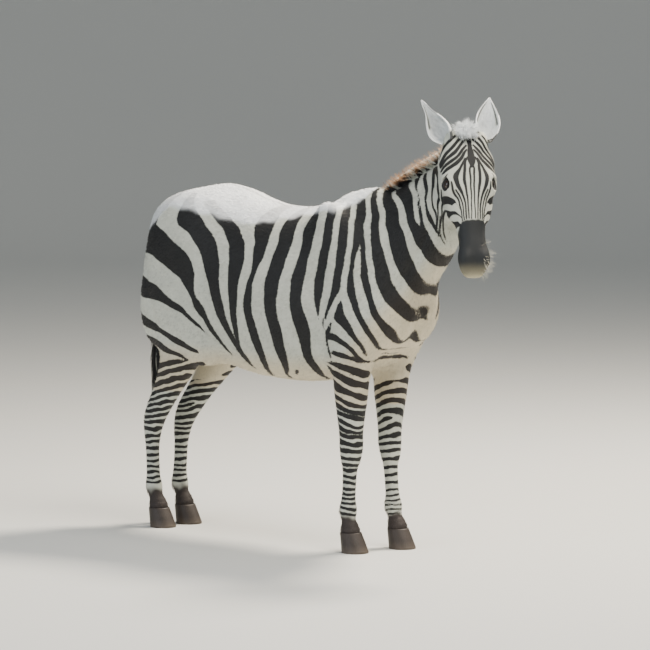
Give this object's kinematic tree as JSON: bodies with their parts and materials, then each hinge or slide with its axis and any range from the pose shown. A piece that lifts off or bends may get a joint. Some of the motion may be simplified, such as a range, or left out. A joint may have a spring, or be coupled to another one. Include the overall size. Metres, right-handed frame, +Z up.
{
  "type": "zebra figure",
  "caption": "Life-size plains zebra that stands square on its hooves with its head turned to its right; short mane, upright ears, hanging tail.",
  "frame": {"origin": "on the floor under the middle of the bounding box", "axes": "+X from the tail towards the chest, +Y towards the animal's left, +Z up"},
  "size_m": [1.681, 0.4908, 1.6263],
  "materials": {
    "coat": "short flat hair in dark charcoal and off-white stripes",
    "mane": "short stiff upright hair, banded dark and pale with tan tips",
    "tail_hair": "long dark brown-black hair",
    "eye": "wet, very dark brown",
    "hoof": "worn grey-brown horn"
  },
  "bodies": {
    "root": {"trunk": "coat", "neck": "coat", "head": "coat", "eye_right": "eye", "eye_left": "eye", "leg_fore_right_upper": "coat", "leg_fore_right_lower": "coat", "hoof_fore_right": "hoof", "leg_fore_left_upper": "coat", "leg_fore_left_lower": "coat", "hoof_fore_left": "hoof", "leg_hind_right_upper": "coat", "leg_hind_right_lower": "coat", "hoof_hind_right": "hoof", "leg_hind_left_upper": "coat", "leg_hind_left_lower": "coat", "hoof_hind_left": "hoof", "forelock": "mane", "ear_right": "coat", "ear_left": "coat", "tail_dock": "coat", "tail_tuft": "tail_hair", "mane": "mane"}
  },
  "joints": []
}
